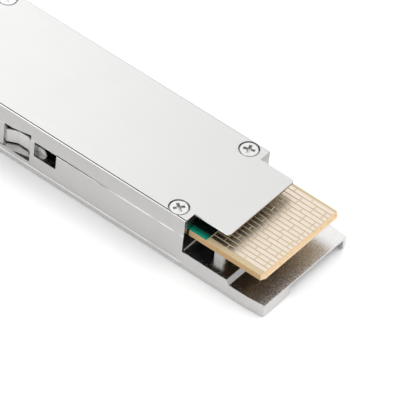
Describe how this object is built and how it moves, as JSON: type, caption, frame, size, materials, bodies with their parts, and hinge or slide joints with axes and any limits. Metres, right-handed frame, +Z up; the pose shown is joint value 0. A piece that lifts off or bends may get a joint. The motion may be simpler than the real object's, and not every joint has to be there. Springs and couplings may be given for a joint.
{
  "type": "pluggable optical transceiver module",
  "caption": "Slim metal pluggable transceiver with a gold-contact card edge over a tray, a multi-fibre port in the nose and a sliding latch release with a pull tab.",
  "frame": {"origin": "on the resting face, on the middle plane, under the rear shoulder where the card leaves the housing", "axes": "+X along the module towards the card edge, the way it is pushed into a cage; +Y across; +Z up from the resting face"},
  "size_m": [0.1123, 0.0184, 0.0085],
  "materials": {
    "nickel_zinc": "satin nickel plating on die-cast zinc",
    "nickel_cover": "satin nickel plating",
    "screw_steel": "plated steel",
    "laminate": "glass-fibre laminate",
    "solder_mask": "glossy green mask",
    "contact_gold": "gold plating",
    "chip_black": "moulded epoxy",
    "thermal_pad": "soft filled silicone",
    "ferrite": "sintered grey",
    "capacitor_tan": "fired ceramic",
    "lens_amber": "clear amber moulding",
    "fibre_coat": "ribbon coating",
    "ferrule_plastic": "glass-filled moulding",
    "spring_steel": "bright stamped steel",
    "port_plastic": "moulded",
    "gasket_rubber": "conductive elastomer",
    "tab_plastic": "moulded"
  },
  "bodies": {
    "housing": {"housing_base": "nickel_zinc", "housing_cover": "nickel_cover", "cover_screws": "screw_steel", "circuit_board": "laminate", "solder_mask_upper": "solder_mask", "solder_mask_lower": "solder_mask", "contact_pads_upper": "contact_gold", "contact_pads_lower": "contact_gold", "signal_processor": "chip_black", "processor_thermal_pad": "thermal_pad", "laser_driver": "chip_black", "receiver_amplifier": "chip_black", "microcontroller": "chip_black", "power_inductors": "ferrite", "capacitors": "capacitor_tan", "lens_block": "lens_amber", "fibre_ribbon": "fibre_coat", "ferrule": "ferrule_plastic", "guide_pins": "screw_steel", "ferrule_clip": "spring_steel", "port_receptacle": "port_plastic", "port_gaskets": "gasket_rubber", "left_return_spring": "spring_steel", "right_return_spring": "spring_steel"},
    "latch": {"left_latch_arm": "spring_steel", "right_latch_arm": "spring_steel", "pull_tab": "tab_plastic"}
  },
  "joints": [
    {"name": "latch_slide", "type": "slide", "parent": "housing", "child": "latch", "axis": [-1, 0, 0], "range_m": [0, 0.0025], "stiffness_N_per_m": 400, "springref_m": -0.002, "deforming": ["left_return_spring", "right_return_spring"]}
  ]
}
